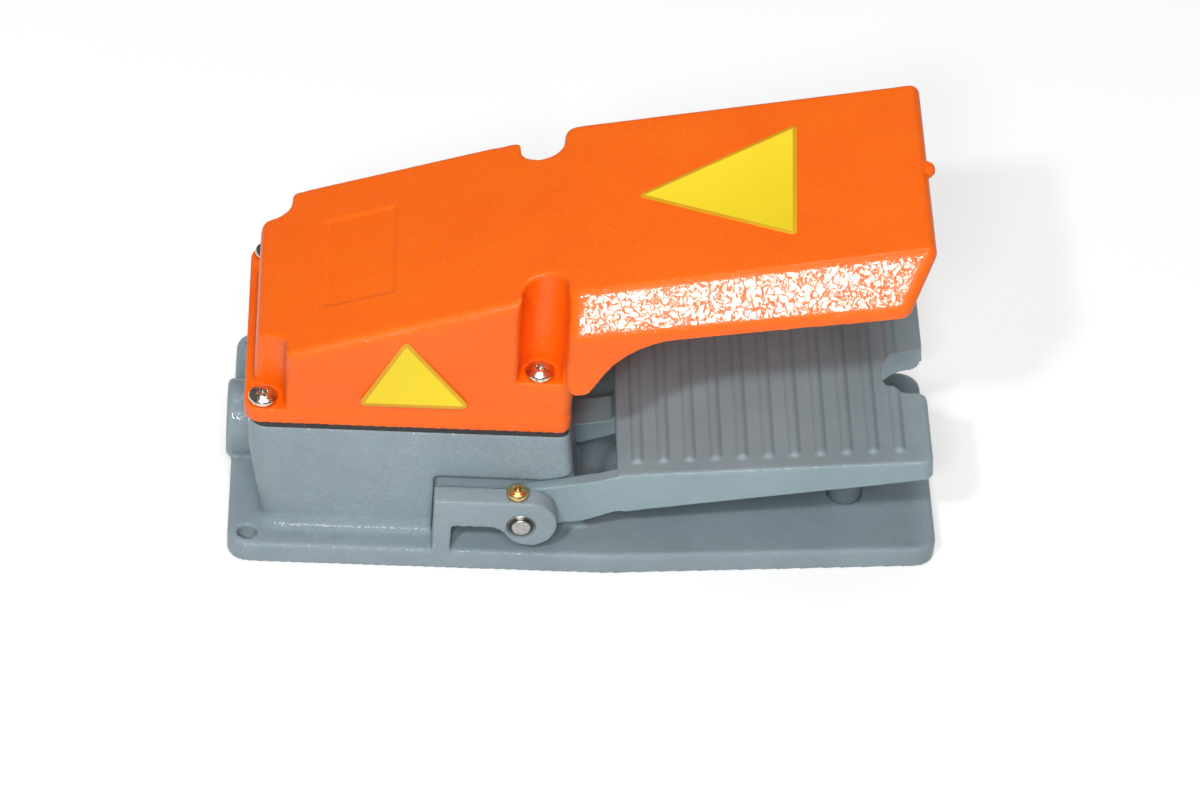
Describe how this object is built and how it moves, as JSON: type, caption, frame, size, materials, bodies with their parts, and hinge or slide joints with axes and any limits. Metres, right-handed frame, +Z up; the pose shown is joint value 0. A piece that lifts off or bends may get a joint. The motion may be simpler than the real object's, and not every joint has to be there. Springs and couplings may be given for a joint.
{
  "type": "foot switch",
  "caption": "Guarded foot switch: cast base and housing, hooded cover, ribbed treadle on side pivots, and a roller-lever snap switch with return spring inside.",
  "frame": {"origin": "centre of the base plate, on its underside", "axes": "+X towards the toe of the treadle, +Y to the far side, +Z up"},
  "size_m": [0.254, 0.118, 0.1424],
  "materials": {
    "grey_enamel": "light textured enamel on cast aluminium",
    "orange_enamel": "textured orange powder coat on cast aluminium",
    "black_rubber": "matt nitrile rubber",
    "plated_steel": "zinc plated steel",
    "bright_steel": "bright turned steel",
    "yellow_plating": "yellow passivated steel",
    "brass": "turned brass",
    "dark_plastic": "moulded phenolic",
    "red_plastic": "moulded plastic",
    "pale_plastic": "moulded nylon"
  },
  "bodies": {
    "base": {"base_housing": "grey_enamel", "cover": "orange_enamel", "cover_gasket": "black_rubber", "cover_screws_rear": "plated_steel", "cover_screws_front": "plated_steel", "pivot_pins": "bright_steel", "pin_lock_screws": "yellow_plating", "return_spring": "bright_steel", "spring_bridge": "plated_steel", "spring_cap": "brass", "bridge_screws": "plated_steel", "rest_pad": "black_rubber", "stop_buffers": "black_rubber", "switch_case": "dark_plastic", "switch_lid": "dark_plastic", "lever_pin": "bright_steel", "switch_terminals": "brass", "terminal_screws": "plated_steel", "switch_bracket": "plated_steel", "bracket_screws": "plated_steel", "switch_screws": "plated_steel", "switch_nuts": "plated_steel", "earth_screw": "brass", "earth_washer": "brass"},
    "treadle": {"treadle": "grey_enamel", "adjusting_screw": "bright_steel", "adjusting_nut": "plated_steel"},
    "lever": {"switch_lever": "bright_steel", "roller_pin": "bright_steel"},
    "roller": {"lever_roller": "pale_plastic"},
    "plunger": {"switch_plunger": "red_plastic"}
  },
  "joints": [
    {"name": "treadle_pivot", "type": "hinge", "parent": "base", "child": "treadle", "pos_m": [-0.023, 0, 0.0203], "axis": [0, 1, 0], "range_deg": [0, 9], "stiffness_Nm_per_rad": 2.6, "springref_deg": -30.37, "deforming": ["return_spring"]},
    {"name": "lever_pivot", "type": "hinge", "parent": "base", "child": "lever", "pos_m": [-0.09819, 0, 0.04934], "axis": [0, -1, 0], "range_deg": [0, 8.1]},
    {"name": "roller_spin", "type": "hinge", "parent": "lever", "child": "roller", "pos_m": [-0.0586, 0, 0.0372], "axis": [0, 1, 0], "continuous": true},
    {"name": "plunger_slide", "type": "slide", "parent": "base", "child": "plunger", "axis": [0, 0, 1], "range_m": [0, 0.0009]}
  ],
  "couplings": [
    {"joint": "lever_pivot", "follows": "treadle_pivot", "ratio": 0.9},
    {"joint": "plunger_slide", "follows": "treadle_pivot", "m_per_rad": 0.00572}
  ]
}
